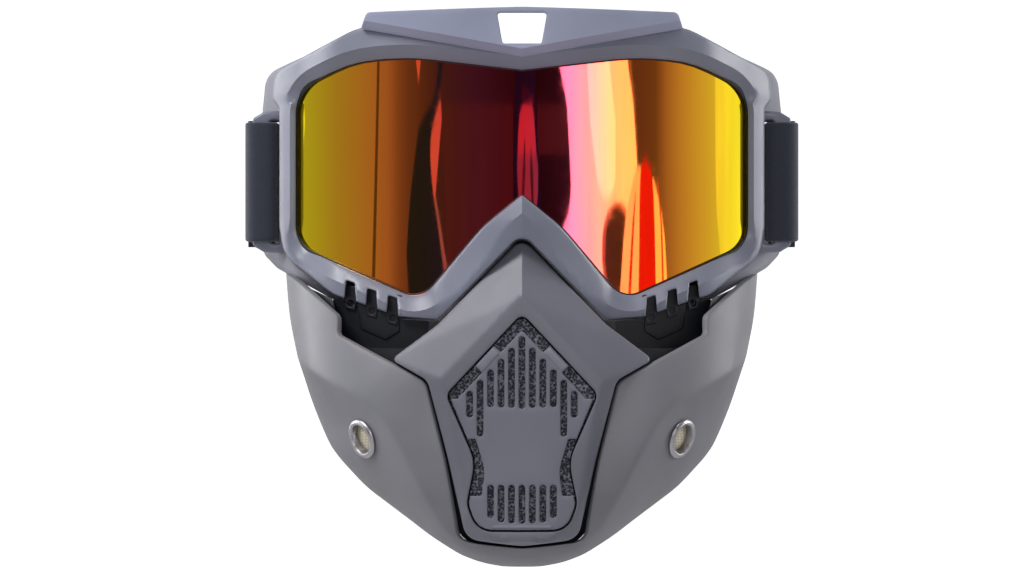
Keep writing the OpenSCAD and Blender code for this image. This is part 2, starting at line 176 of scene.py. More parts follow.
def inward(loop, into):
    """Unit normals of a loop that point into the material, stretched a little at its corners."""
    before, after = loop - np.roll(loop, 1, axis=0), np.roll(loop, -1, axis=0) - loop
    before /= norm(before, axis=1)[:, None]
    after /= norm(after, axis=1)[:, None]
    n1, n2 = np.stack([-before[:, 1], before[:, 0]], 1), np.stack([-after[:, 1], after[:, 0]], 1)
    n = (n1 + n2) / np.maximum(1 + np.sum(n1 * n2, axis=1), 0.6)[:, None]
    x, z = loop[:, 0], loop[:, 1]
    area = np.sum(x * np.roll(z, -1) - np.roll(x, -1) * z)
    return n if (area > 0) == into else -n


def slab(name, loops, place, material, edge=0.6, back_edge=0.4, step=2.0, creases=(), smooth=38, bend=3):
    """A closed solid bounded by loops, the first outside and the others holes.
    place(points, k, depth) gives 3-D points: k is 0 at the front face and 1 at the back, and depth is
    measured from that face towards the other one."""
    loops = [np.asarray(l, float) for l in loops]
    verts, faces, rings = [], [], {}

    def add(points3):
        first = len(verts)
        verts.extend(points3)
        return list(range(first, first + len(points3)))

    for i, loop in enumerate(loops):
        normal = inward(loop, i == 0)
        for side, radius in ((0, edge), (1, back_edge)):
            for k in range(bend + 1):
                a = math.pi / 2 * k / bend
                flat = loop + normal * radius * (1 - math.cos(a))
                rings[i, side, k] = (flat, add(place(flat, side, radius * (1 - math.sin(a)))))
        chain = [rings[i, 0, k][1] for k in range(bend, -1, -1)] + [rings[i, 1,
                                                                          k][1] for k in range(bend + 1)]
        n = len(loop)
        for upper, lower in zip(chain, chain[1:]):
            faces += [(upper[j], upper[(j + 1) % n], lower[(j + 1) % n], lower[j]) for j in range(n)]
    for side in (0, 1):
        flats = [rings[i, side, bend][0] for i in range(len(loops))]
        flat2d, edges, owner = [], [], []
        for i, flat in enumerate(flats):
            first = len(flat2d)
            n = len(flat)
            flat2d += [tuple(p) for p in flat]
            owner += rings[i, side, bend][1]
            edges += [(first + j, first + (j + 1) % n) for j in range(n)]
        grid = step if side == 0 else step * 1.6
        lo, hi = flats[0].min(0), flats[0].max(0)
        xs, zs = np.arange(lo[0], hi[0], grid), np.arange(lo[1], hi[1], grid * 0.87)
        cells = np.array([(x + (grid / 2 if j % 2 else 0), z) for j, z in enumerate(zs) for x in xs])
        cells = cells[within(cells, flats)]
        lines = creases if side == 0 else ()
        if len(cells):
            near = np.min([distance(cells, f) for f in flats], axis=0)
            cells = cells[near > grid * 0.5]
            for line in lines:
                cells = cells[distance(cells, np.asarray(line, float), False) > grid * 0.4]
        for line in lines:
            first = len(flat2d)
            line = [np.asarray(p, float) for p in line]
            dense = []
            for p, q in zip(line, line[1:]):
                m = max(1, int(norm(q - p) / step))
                dense += [p + (q - p) * t / m for t in range(m)]
            dense.append(line[-1])
            flat2d += [tuple(p) for p in dense]
            owner += [None] * len(dense)
            edges += [(first + j, first + j + 1) for j in range(len(dense) - 1)]
        flat2d += [tuple(p) for p in cells]
        owner += [None] * len(cells)
        out, _, tris, sources, _, _ = delaunay_2d_cdt([Vector(p) for p in flat2d], edges, [], 0, 1e-6)
        out = np.array([tuple(p) for p in out])
        centres = np.array([out[list(t)].mean(axis=0) for t in tris])
        good = within(centres, flats)
        ends = np.array([[out[i] for i in t] for t in tris])
        ab, ac = ends[:, 1] - ends[:, 0], ends[:, 2] - ends[:, 0]
        good &= np.abs(ab[:, 0] * ac[:, 1] - ab[:, 1] * ac[:, 0]) > SLIVER
        index = [None] * len(out)
        fresh = []
        for v, src in enumerate(sources):
            known = [owner[s] for s in src if owner[s] is not None]
            if known:
                index[v] = known[0]
            else:
                fresh.append(v)
        if fresh:
            for v, made in zip(fresh, add(place(out[fresh], side, 0.0))):
                index[v] = made
        faces += [tuple(index[v] for v in t) for t, ok in zip(tris, good) if ok]
    return make(name, verts, faces, material, smooth)


def level(y):
    """A flat face at one height."""
    return lambda p: 0 * p[:, 0] + y


def relief(front, back):
    """A placing function for a solid whose front and back are heights over the front view."""

    def place(flat, side, depth):
        y = front(flat) + depth if side == 0 else back(flat) - depth
        return np.stack([flat[:, 0], y, flat[:, 1]], axis=1)

    return place


# How far back the axes stand of the cylinders that the lens and the face follow
LENS_AXIS, FACE_AXIS = 60.0, 115.0


def drum(r, axis=LENS_AXIS):
    """Height of the front of an upright cylinder, whose axis is the lens's unless another is given."""
    return lambda p: axis - np.sqrt(np.maximum(r * r - p[:, 0] ** 2, 1.0))


def band(name, path, half, thick, material):
    """A flat strap that runs along a path in plan, standing on edge, with rounded edges."""
    path = np.array(path, float)
    n = len(path)
    way = np.gradient(path, axis=0)
    way /= norm(way, axis=1)[:, None]
    side = np.stack([-way[:, 1], way[:, 0]], 1)
    edge = 0.7
    into = edge * (1 - np.cos(np.linspace(0.5, 1.57, 3)))
    zs = np.concatenate([[-half], -half + into, np.linspace(-half + edge + 1, half - edge - 1, 13),
                         half - into[::-1], [half]])
    section = []
    for z in zs:
        k = math.sqrt(max(0.0, 1 - max(0.0, (abs(z) - half + edge) / edge) ** 2))
        section.append((z, thick / 2 * max(k, 0.25)))
    section = section + [(z, -w) for z, w in reversed(section)]
    m = len(section)
    verts = []
    for i in range(n):
        verts += [(path[i, 0] + side[i, 0] * w, path[i, 1] + side[i, 1] * w, z) for z, w in section]
    faces = []
    for i in range(n - 1):
        a, b = i * m, (i + 1) * m
        faces += [(a + k, a + (k + 1) % m, b + (k + 1) % m, b + k) for k in range(m)]
    faces += [tuple(range(m)), tuple(range((n - 1) * m, n * m))]
    return make(name, verts, faces, material, 50)


def lathe(name, profile, centre, axis, material):
    """A ring or disc turned about an axis. The profile is (radius, along) and closes on itself."""
    axis = np.array(axis, float) / norm(axis)
    u = np.cross(axis, (0, 0, 1.0))
    u /= norm(u)
    v = np.cross(axis, u)
    around = 72
    verts, faces = [], []
    for i in range(around):
        a = 2 * math.pi * i / around
        for r, h in profile:
            verts.append(np.array(centre) + (u * math.cos(a) + v * math.sin(a)) * r + axis * h)
    m = len(profile)
    for i in range(around):
        j = (i + 1) % around
        faces += [(i * m + k, i * m + (k + 1) % m, j * m + (k + 1) % m, j * m + k) for k in range(m)]
    return make(name, verts, faces, material)


# -------- materials


def srgb(r, g, b):
    """A colour given as it is displayed, turned into the linear values that materials take."""
    shares = (r / 255, g / 255, b / 255)
    return tuple(c / 12.92 if c <= 0.04045 else ((c + 0.055) / 1.055) ** 2.4 for c in shares)


class Looks:
    """A procedural material being built, with short ways to add nodes."""

    def __init__(self, name, color, rough, **sockets):
        self.mat = bpy.data.materials.new(name)
        self.mat.use_nodes = True
        self.tree = self.mat.node_tree
        self.shader = self.tree.nodes["Principled BSDF"]
        self.set(self.shader, "Base Color", (*color, 1))
        self.set(self.shader, "Roughness", rough)
        for k, v in sockets.items():
            self.set(self.shader, k.replace("_", " "), v)
        self.place = self.node("ShaderNodeTexCoord").outputs["Object"]
        self.height = None

    def node(self, kind, inputs=None, **props):
        n = self.tree.nodes.new(kind)
        for k, v in props.items():
            setattr(n, k, v)
        for k, v in (inputs or {}).items():
            self.set(n, k, v)
        return n

    def set(self, n, key, value):
        if isinstance(value, bpy.types.NodeSocket):
            self.tree.links.new(value, n.inputs[key])
        else:
            n.inputs[key].default_value = value

    def noise(self, scale, detail=3.0, rough=0.5, stretch=None):
        where = self.place
        if stretch:
            where = self.node("ShaderNodeMapping", {"Vector": self.place, "Scale": stretch}).outputs[0]
        inputs = {"Vector": where, "Scale": scale, "Detail": detail, "Roughness": rough}
        return self.node("ShaderNodeTexNoise", inputs).outputs[0]

    def remap(self, value, a, b, low=0.0, high=1.0):
        return self.node("ShaderNodeMapRange", {0: value, 1: a, 2: b, 3: low, 4: high}).outputs[0]

    def math(self, op, a, b=0.0):
        return self.node("ShaderNodeMath", {0: a, 1: b}, operation=op).outputs[0]

    def tint(self, value, stops):
        n = self.node("ShaderNodeValToRGB", {0: value})
        ramp_ = n.color_ramp
        while len(ramp_.elements) < len(stops):
            ramp_.elements.new(0.5)
        for e, (at, c) in zip(ramp_.elements, stops):
            e.position, e.color = at, (*c, 1)
        return n.outputs[0]

    def bump(self, height, strength, distance):
        inputs = {"Height": height, "Strength": strength, "Distance": distance}
        if self.height is not None:
            inputs["Normal"] = self.height
        self.height = self.node("ShaderNodeBump", inputs).outputs[0]
        self.set(self.shader, "Normal", self.height)


def moulded(name, color, rough, grain=0.10):
    """Satin moulded plastic with a fine spark-eroded grain and faint handling marks."""
    m = Looks(name, color, rough, Specular_IOR_Level=0.45)
    wide = m.noise(38, 4)
    drift = 0.08
    dark, light = tuple(c * (1 - drift) for c in color), tuple(c * (1 + drift) for c in color)
    m.set(m.shader, "Base Color", m.tint(wide, [(0.3, dark), (0.7, light)]))
    fine = m.noise(2600, 2)
    smudge = m.noise(90, 5, 0.6)
    both = m.math("ADD", m.math("MULTIPLY", fine, 0.5), m.math("MULTIPLY", smudge, 0.5))
    m.set(m.shader, "Roughness", m.remap(both, 0.3, 0.7, rough - 0.05, rough + 0.07))
    m.bump(fine, grain, 0.00012)
    m.bump(m.noise(420, 3), grain * 0.35, 0.0002)
    return m.mat


def foam(name, color, scale=1500, depth=0.0008, light=3.0):
    """Open-cell foam: pale threads in the foam's own tone, with painted shade darkening the pores between
    them.
    """
    m = Looks(name, color, 0.95, Specular_IOR_Level=0.2)
    inputs = {"Vector": m.place, "Scale": scale, "Randomness": 1.0}
    cells = m.node("ShaderNodeTexVoronoi", inputs).outputs["Distance"]
    grit = m.noise(scale * 1.4, 4, 0.65)
    both = m.math("ADD", m.math("MULTIPLY", cells, 0.6), m.math("MULTIPLY", grit, 0.5))
    # Painted shade: the middle of each cell is darkened to stand for the shade inside the pore, and the
    # threads keep the foam's paler tone
    m.set(m.shader, "Base Color", m.tint(both, [(0.30, tuple(c * 0.35 for c in color)), (0.55, color),
                                                (0.75, tuple(min(1, c * light) for c in color))]))
    m.bump(both, 0.9, depth)
    return m.mat


frame_grey = moulded("frame_grey", srgb(122, 125, 141), 0.32)
plate_grey = moulded("plate_grey", srgb(148, 152, 175), 0.42)
mask_grey = moulded("mask_grey", srgb(120, 120, 127), 0.46)
panel_grey = moulded("panel_grey", srgb(108, 108, 119), 0.44)
grille_grey = moulded("grille_grey", srgb(112, 113, 125), 0.42)
# The clips' grey is the grille's plastic made lighter, a painted highlight on the clips
clip_highlight_grey = moulded("clip_highlight_grey", srgb(124, 124, 136), 0.36)
black_plastic = moulded("black_plastic", srgb(17, 19, 26), 0.45)
skirt_grey = moulded("skirt_grey", srgb(138, 138, 149), 0.62, grain=0.2)
gasket_black = moulded("gasket_black", srgb(16, 16, 17), 0.5)
dark_foam = foam("dark_foam", srgb(34, 35, 39))
speckled_foam = foam("speckled_foam", srgb(64, 65, 72), 1300, 0.0009, 4.5)


def woven(name, color):
    """Dark elastic webbing: ribs across it and fine yarns along it."""
    m = Looks(name, color, 0.85, Specular_IOR_Level=0.25, Sheen_Weight=0.35, Sheen_Roughness=0.5)
    ribs = m.node("ShaderNodeTexWave", {"Vector": m.place, "Scale": 850.0, "Distortion": 2.5, "Detail": 2.0,
                                        "Detail Scale": 60.0}, wave_type="BANDS",
                  bands_direction="Z").outputs["Fac"]
    yarn = m.noise(900, 3, 0.6, (1, 1, 4))
    fuzz = m.noise(3000, 2, 0.7)
    both = m.math("ADD", m.math("MULTIPLY", ribs, 0.35), m.math("MULTIPLY", yarn, 0.7))
    m.set(m.shader, "Base Color", m.tint(both, [(0.25, tuple(c * 0.75 for c in color)), (0.55, color),
                                                (0.85, tuple(c * 1.3 for c in color))]))
    m.bump(both, 0.35, 0.00025)
    m.bump(fuzz, 0.3, 0.0001)
    return m.mat


strap_cloth = woven("strap_cloth", srgb(50, 54, 66))


def mirror_lens():
    """The lens's coating: yellow at both edges, through orange to a deep red in the middle."""
    m = Looks("mirror_lens", srgb(220, 60, 60), 0.03, Metallic=1.0)
    x = m.node("ShaderNodeSeparateXYZ", {0: m.place}).outputs
    drift = m.math("MULTIPLY", m.math("SUBTRACT", m.noise(14, 2), 0.5), 0.006)
    across = m.remap(m.math("ADD", m.math("ABSOLUTE", x[0]), drift), 0.0, 0.078)
    stops = [(0, (.80, .035, .06)), (8, (.80, .07, .13)), (16, (.85, .10, .18)), (24, (.89, .14, .11)),
             (32, (.93, .185, .05)),
             (40, (.93, .20, .035)), (47, (.94, .25, .03)), (54, (.95, .36, .028)), (62, (.96, .50, .026)),
             (69, (.97, .68, .02)), (76, (.98, .82, .02))]
    m.set(m.shader, "Base Color", m.tint(across, [(at / 78, c) for at, c in stops]))
    m.set(m.shader, "Roughness", m.remap(m.noise(300, 4), 0.3, 0.8, 0.02, 0.045))
    m.bump(m.noise(9, 1), 0.03, 0.004)
    return m.mat


lens_mirror = mirror_lens()


def metal(name, color, rough):
    """Plated metal with a slightly uneven polish."""
    m = Looks(name, color, rough, Metallic=1.0)
    m.set(m.shader, "Roughness", m.remap(m.noise(500, 4), 0.3, 0.7, rough * 0.7, rough * 1.5))
    m.bump(m.noise(900, 3), 0.06, 0.0001)
    return m.mat


nickel = metal("nickel", (0.42, 0.41, 0.43), 0.34)


def gauze_look():
    """Fine wire cloth: two sets of wires over a warm grey."""
    m = Looks("gauze", srgb(190, 182, 160), 0.5, Metallic=0.35)
    wires = {"Vector": m.place, "Scale": 620.0}
    a, b = (m.node("ShaderNodeTexWave", wires, bands_direction=way).outputs["Fac"] for way in "XZ")
    both = m.math("MAXIMUM", a, b)
    m.set(m.shader, "Base Color", m.tint(both, [(0.3, srgb(120, 112, 92)), (0.9, srgb(214, 206, 184))]))
    m.bump(both, 0.5, 0.0002)
    return m.mat


gauze = gauze_look()

# -------- shared shapes

LENS_R = 105.0
FRAME_R = 110.5
BACK_R = 101.0
aperture = mirrored([
    (0, 36.3, 0.8), (37, 40.7, 80), (56, 39.5, 40), (75.5, 30.5, 13), (75.5, -21.3, 10), (33.5, -39.8, 8.5),
    (13, -15.5, 40), (0, -5, 0.8)])
notches = [(56.9, -39.4, -33.5), (49.75, -41.9, -36.2), (42.8, -44.3, -38.5)]


def frame_half():
    """The right half of the frame's outline, with its notches."""
    pts = [(0, 42.5, 0), (52, 52, 20), (83, 36.5, 6), (83.6, 27.5, 2), (81.2, 24.5, 2), (81.2, -15, 6),
           (79.6, -24.5, 10),
           (62, -38.2, 12)]
    for x, low, top in notches:
        pts += [(x + 1.9, low + 0.6, 0.4), (x + 1.45, top + 0.5, 0.5), (x - 1.45, top - 0.5, 0.5),
                (x - 1.95, low - 0.7, 0.4)]
    pts += [(27.7, -46.2, 1.5), (0, -17.4, 4.5)]
    return pts


frame_line = mirrored(frame_half())
skirt_line = mirrored([
    (0, 41.5, 0), (52, 50.5, 20), (79, 39.5, 4), (86.3, 36.5, 7), (88, 20.9, 1.5), (79.8, 20.7, 1),
    (79.8, -22.5, 1), (88.2, -20, 1), (86.8, -24.5, 4), (82.5, -28.8, 8), (63, -39.5, 20), (44, -46.2, 5),
    (27.5, -46.6, 2), (0, -18, 5)])
skirt_inside = grown(mirrored([
    (0, 41.5, 0), (52, 50.5, 20), (79.8, 40, 10), (79.8, -27.5, 10), (62, -39.5, 20), (44, -46, 6),
    (27.5, -46, 5), (0, -18, 5)]), -2.6)
foam_inside = mirrored([
    (0, 32, 0), (50, 40, 20), (73, 31, 12), (73, -20, 12), (58, -31, 20), (43, -37, 5), (30, -36.5, 8),
    (0, -9, 6)])
PLATE_EDGE = [(53.4, 50.2, 0.6), (0, 40.4, 0.6)]
plate_line = mirrored([(0, 57.0, 60), (12, 56.7, 30), (51.5, 55.6, 2.0)] + PLATE_EDGE)
window_line = mirrored([(0, 55, 0), (8.2, 55, 0.8), (6.4, 44.9, 0.8), (0, 44.9, 0)])
panel_line = mirrored([
    (0, -19.2, 4), (27.7, -47.6, 0.8), (43.2, -59.2, 1.5), (31, -66, 5), (24.2, -92, 60), (18.4, -118.2, 6),
    (0, -120.4, 15)])
grille_line = mirrored([
    (0, -44.4, 2.2), (24.6, -70.6, 3.2), (15, -92.5, 14), (17.9, -106.5, 7), (14.5, -115.2, 7),
    (0, -115.3, 40)])

aperture_dense = outline(aperture, 0.8)

# -------- goggles


def nose_share(p):
    """How much a point belongs to the nose bridge, from 0 to 1."""
    return np.clip(1 - np.abs(p[:, 0]) / 29, 0, 1) * ramp((8 - p[:, 1]) / 12)


def ridge_width(p):
    """How far the ridge stands from the lens opening: far at the top, bottom and nose, near at the sides."""
    top = 2.4 * ramp((p[:, 1] - 25) / 4.5)
    low = 3.3 * ramp((-p[:, 1] - 12) / 16)
    return 2.0 + top + low + 2.6 * ramp(nose_share(p) * 3)


def frame_front(p):
    """The frame's face: a bevel up from the lens to a ridge, an outer band and the creased nose bridge."""
    t = distance(p, aperture_dense)
    wide = ridge_width(p)
    top = ramp((p[:, 1] - 20) / 14)
    low = ramp((-p[:, 1] - 12) / 16)
    rise = 2.2 + 1.8 * top + 1.7 * low
    side = 3.2 * ramp((np.abs(p[:, 0]) - 60) / 15)
    bevel, outer = rise * (1 - t / wide), (0.16 + 0.12 * top) * (t - wide)
    y = drum(FRAME_R)(p) + side + np.where(t < wide, bevel, outer)
    return np.minimum(y, drum(LENS_R + 0.4)(p)) - 7.2 * nose_share(p)


def ridge_lines():
    """The ridge as open lines, broken where the opening's own corners would make it cross itself."""
    away = inward(aperture_dense, False)
    wide = ridge_width(aperture_dense)
    line = aperture_dense + away * wide[:, None]
    keep = distance(line, aperture_dense) > wide - 0.04
    keep &= ridge_width(line) < wide + 0.25
    parts, part = [], []
    for p, k in zip(line, keep):
        if k and (not part or norm(p - part[-1]) > 0.5):
            part.append(tuple(p))
        elif not k and part:
            parts.append(part)
            part = []
    return [q for q in parts + [part] if len(q) > 3]


frame_back = drum(BACK_R)
frame_piece = slab("frame_face", [outline(frame_line, 1.2), outline(grown(aperture, 0.02), 1.2)],
                   relief(frame_front, frame_back), frame_grey, edge=0.7, back_edge=0.5, step=1.1,
                   creases=[[(0, -6.2), (0, -16.3)]] + ridge_lines(), smooth=24)
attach(frame_piece, "goggles")
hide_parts("outer_frame")

# The strap bars and the black blocks in the notches
for sign, side in SIDES:
    def turned(points):
        return points if sign > 0 else flipped(points)

    bar = turned([(77, 24.0, 1.5), (86.6, 23.6, 1.5), (90.3, 21.4, 1), (90.3, -21.4, 1), (86.6, -23.6, 1.5),
                  (77, -24.0, 1.5)])
    hole = turned([(81.2, 20.6, 0.8), (84.6, 20.6, 0.8), (84.6, -20.6, 0.8), (81.2, -20.6, 0.8)])
    bar_piece = slab(f"strap_bar_{side}", [outline(bar, 2), outline(hole, 2)],
                     relief(lambda p: -3.2 + 0.9 * ramp((np.abs(p[:, 0]) - 84) / 5), level(2.0)),
                     frame_grey, edge=0.9, back_edge=0.6, step=2)
    low = [(61, -34.0, 0.5), (60.6, -39.5, 0.4)]
    for x, z, _ in notches:
        low += [(x + 1.85, z + 0.2, 0.3), (x + 1.7, z - 2.9, 0.4), (x - 1.5, z - 3.9, 0.4),
                (x - 1.85, z - 0.8, 0.3)]
    low += [(40.0, -44.6, 0.3), (39.6, -38.0, 0.5)]
    holes = []
    for x, z, _ in notches:
        holes.append(outline(turned([(x + 1.15 * math.cos(a) - 0.1, z - 1.3 + 1.15 * math.sin(a), 0)
                                     for a in [-math.pi * 2 * k / 16 for k in range(16)]]), 1))
    block = slab(f"notch_block_{side}", [outline(turned(low), 1.0)] + holes,
                 relief(drum(FRAME_R - 2.6), drum(FRAME_R - 8)), black_plastic, edge=0.35, step=1.2)
    tongue = turned([(40.6, -43, 0.5), (55, -39, 0.5), (53.5, -49.3, 1), (45.2, -52.9, 0.6), (40.6, -50, 1)])
    tongue_piece = slab(f"steady_tongue_{side}", [outline(tongue, 1.5)],
                        relief(drum(FRAME_R - 3.0), drum(FRAME_R - 4.6)),
                        black_plastic, edge=0.4, step=2)
    for piece in (bar_piece, block, tongue_piece):
        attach(piece, "goggles")
        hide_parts("outer_frame")


def plate_front(p):
    """The brow plate's front: a plain curve, with a wide bevel along its lower edge."""
    (x1, z1, _), (x0, z0, _) = PLATE_EDGE
    low = z0 + (z1 - z0) * np.abs(p[:, 0]) / x1
    up = (p[:, 1] - low) * 0.983
    return drum(FRAME_R + 3.2)(p) + 3.0 * np.clip(1 - up / 2.7, 0, 1)


plate = slab("brow_cap", [outline(plate_line, 1.2), outline(window_line, 0.8)],
             relief(plate_front, drum(FRAME_R - 1.0)), plate_grey, edge=0.5, back_edge=0.3, step=1.5,
             creases=[[(-51.5, 52.7), (0, 43.15), (51.5, 52.7)]], smooth=25)
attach(plate, "goggles")
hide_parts("brow_plate")

lens_loop = outline(grown(aperture, 2.5), 1.5)
# The lens, with exact normals on its front so that its reflections run smoothly
lens = slab("lens_shield", [lens_loop], relief(drum(LENS_R), drum(LENS_R - 1.8)), lens_mirror, edge=0.3,
            step=2.5)
mesh = lens.data
normals = []
for v, n in zip(mesh.vertices, mesh.vertex_normals):
    c = v.co / MM
    r = math.hypot(c.x, c.y - LENS_AXIS)
    normals.append((c.x / r, (c.y - LENS_AXIS) / r, 0) if abs(r - LENS_R) < 0.02 else tuple(n.vector))
mesh.normals_split_custom_set_from_vertices(normals)
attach(lens, "goggles")
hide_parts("lens")

gasket = slab("lens_seal", [outline(grown(aperture, 1.5), 1.2), outline(grown(aperture, -0.45), 1.2)],
              relief(drum(LENS_R + 1.0), drum(LENS_R - 0.5)), gasket_black, edge=0.3, back_edge=0.2, step=1.5)
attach(gasket, "goggles")
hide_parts("lens_gasket")


def skirt_front(p):
    """The soft skirt's front: close behind the frame, falling back at the ears."""
    x = np.abs(p[:, 0])
    return drum(BACK_R)(p) + 0.25 + 0.45 * np.clip(x - 81, 0, 9) ** 1.1


SKIRT_BACK_R, PAD_FRONT_R, PAD_BACK_R = 127.2, 127.0, 115.0
skirt = slab("face_cup", [outline(skirt_line, 1.5), outline(skirt_inside, 1.5)],
             relief(skirt_front, drum(SKIRT_BACK_R, FACE_AXIS)),
             skirt_grey, edge=1.6, back_edge=0.6, step=2, bend=4)
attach(skirt, "goggles")
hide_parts("face_skirt")

face_pad = slab("face_pad", [outline(skirt_line, 1.5), outline(foam_inside, 1.5)],
                relief(drum(PAD_FRONT_R, FACE_AXIS), drum(PAD_BACK_R, FACE_AXIS)),
                dark_foam, edge=0.8, back_edge=3.0, step=2.2, bend=5)
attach(face_pad, "goggles")
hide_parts("face_foam")

# -------- strap


def open_rounded(points):
    """An open line with its corners rounded."""
    out = [np.array(points[0][:2], float)]
    for a, p, b in zip(points, points[1:], points[2:]):
        out += corner(a, p, b)
    return out + [np.array(points[-1][:2], float)]


def spaced(points, step):
    """The same open line with evenly spaced points."""
    points = np.array(points)
    along = np.concatenate([[0], np.cumsum(norm(np.diff(points, axis=0), axis=1))])
    n = int(along[-1] / step)
    s = np.linspace(0, along[-1], n + 1)
    return np.stack([np.interp(s, along, points[:, 0]), np.interp(s, along, points[:, 1])], axis=1)


STRAP_W, STRAP_THICK = 40, 2.0
HEAD_R, HEAD_Y = 91, 95
half_loop = open_rounded([
    (87, 76, 0), (87, 22, 20), (82.7, 8, 12), (82.7, -4.6, 2.2), (91.9, -4.6, 3.4), (91.9, 10, 14),
    (HEAD_R, 24, 20), (HEAD_R, HEAD_Y, 0)])
turns = [math.pi * i / 60 for i in range(1, 60)]
arc = [np.array([HEAD_R * math.cos(a), HEAD_Y + HEAD_R * math.sin(a)]) for a in turns]
other = [np.array([-p[0], p[1]]) for p in reversed(half_loop)]
strap = band("head_strap", spaced(half_loop + arc + other, 1.6), STRAP_W / 2, STRAP_THICK, strap_cloth)
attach(strap, "goggles")
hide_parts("strap")

# -------- mask

# The mask's (height, half width) from its top edge to the chin, then its front and rear y at other heights
ROWS = [
    (-29.8, 79.7), (-32, 79.5), (-44, 78.4), (-54, 76.4), (-65, 73.4), (-75, 70), (-86, 65.3), (-91, 62.2),
    (-96, 57.8), (-102, 51.8), (-107, 45.2), (-112, 38.3), (-117.5, 30.5), (-122.5, 21.5), (-126, 12.5),
    (-127.6, 4)]
DEEP_Z = [-130, -127.6, -126.4, -121, -112, -100, -85, -66, -50, -32, -20]
FRONT_Y = [-40, -43, -47, -53, -57, -59.5, -60, -59, -56, -50, -46]
REAR_Y = [-38, -37.5, -34, -28, -18, -8, 2, 10, 14, 16, 16]
# How square the mask is in plan, where 2 would be an ellipse
SQUARE = 2.6
row_table = [(z, w, np.interp(z, DEEP_Z, FRONT_Y), np.interp(z, DEEP_Z, REAR_Y)) for z, w in ROWS]


def build_rows():
    """The rows joined by a smooth curve, with the length along it."""
    per = 12
    rows = np.array(row_table)
    out = []
    for i in range(len(rows) - 1):
        a, b, c, d = rows[max(0, i - 1)], rows[i], rows[i + 1], rows[min(len(rows) - 1, i + 2)]
        for k in range(per):
            t = k / per
            second, third = 2 * a - 5 * b + 4 * c - d, 3 * b - a - 3 * c + d
            out.append(0.5 * (2 * b + (c - a) * t + second * t * t + third * t ** 3))
    out.append(rows[-1])
    out = np.array(out)
    run = np.concatenate([[0], np.cumsum(np.hypot(np.diff(out[:, 0]), np.diff(out[:, 1])))])
    return out, run


mask_rows, mask_run = build_rows()
# Flat units for a degree round the mask, the shell's thickness, and how far the cheek fold stands out
U_PER_DEG, MASK_THICK, FOLD = 1.15, 2.2, 4.2
crease_line = np.array([
    (-90, -40), (-79, -55.5), (-72, -60), (-60, -66.5), (-50, -71.8), (-45.5, -75.5), (-42, -80),
    (-38, -87), (-34.7, -93.7), (-30, -103), (-23.4, -114.5), (-16, -122), (0, -125)], float)


def mask_place(flat, side, depth):
    """Flat coordinates put in space: the turn round the mask and, downwards, the length along it."""
    u, v = flat[:, 0], -flat[:, 1]
    a = np.radians(np.clip(u / U_PER_DEG, -90, 90))
    z, w, yf, yr = (np.interp(v, mask_run, mask_rows[:, k]) for k in range(4))
    x0 = w * np.sign(a) * np.abs(np.sin(a)) ** (2 / SQUARE)
    o = -depth if side == 0 else depth - MASK_THICK
    o = o + cheek(np.stack([x0, z], axis=1)) * np.clip((85 - np.abs(np.degrees(a))) / 25, 0, 1)
    x = (w + o) * np.sign(a) * np.abs(np.sin(a)) ** (2 / SQUARE)
    y = yr - (yr - yf + o) * np.abs(np.cos(a)) ** (2 / SQUARE)
    return np.stack([x, y, z], axis=1)


def cheek(p):
    """How far the mask stands out: most along the fold from cheek to chin, less on both sides of it."""
    q = np.stack([-np.abs(p[:, 0]), p[:, 1]], axis=1)
    d = distance(q, crease_line, False)
    region = np.concatenate([crease_line, [(0, 0), (-90, 0)]])
    d = np.where(inside(q, region), d, -d)
    total = 0
    for shift in (-0.6, 0, 0.6):
        e = d + shift
        total = total + np.where(e < 0, np.clip(1 + e / 15, 0, 1) ** 1.35, np.clip(1 - e / 17, 0, 1))
    return FOLD * total / 3


def to_mask(points):
    """From the front view to the mask's own flat coordinates."""
    points = np.asarray(points, float)
    order = np.argsort(mask_rows[:, 0])
    v = np.interp(points[:, 1], mask_rows[order, 0], mask_run[order])
    w = np.interp(v, mask_run, mask_rows[:, 1])
    s = np.clip(np.abs(points[:, 0]) / w, 0, 1) ** (SQUARE / 2)
    return np.stack([np.sign(points[:, 0]) * np.degrees(np.arcsin(s)) * U_PER_DEG, -v], axis=1)


def to_seat():
    """The shell's upper edge from the front: under and beside the nose panel, then along both cheeks."""
    seat = [(0, -121.2, 15), (19.0, -119, 6), (24.9, -92, 60), (31.7, -66.5, 5), (43.2, -60.1, 1.5),
            (60.6, -51.0, 0.8),
            (61.4, -44.8, 1.6), (74.5, -33.6, 4), (79.66, -30.2, 0)]
    right = open_rounded([(-19.0, -119, 0)] + seat)
    right = [p for p in right[1:] if p[0] >= -1e-6]
    right = spaced(right, 1.2)
    return np.concatenate([flipped_line(right), right])


def flipped_line(line):
    """An open line seen in a mirror, from its other end."""
    return np.array([(-p[0], p[1]) for p in line[::-1]])


top = to_mask(to_seat())
top = top[np.concatenate([[True], norm(np.diff(top, axis=0), axis=1) > 0.05])]
u_end, v_end = 90 * U_PER_DEG, mask_run[-1]
v_start = -top[-1, 1]
top[0, 0], top[-1, 0] = -u_end, u_end
down = [(u_end, -v) for v in np.linspace(v_start, v_end, 70)[1:]]
back_up = [(-u_end, -v) for v in np.linspace(v_end, v_start, 70)[:-1]]
across = [(u, -v_end) for u in np.linspace(u_end, -u_end, 60)[1:-1]]
shell_loop = np.array([tuple(p) for p in top] + down + across + back_up)

EYELET, EYELET_HOLE_R = (52.0, -85.3), 5.4
eye_uv = {s: to_mask([(s * EYELET[0], EYELET[1])])[0] for s in (1, -1)}


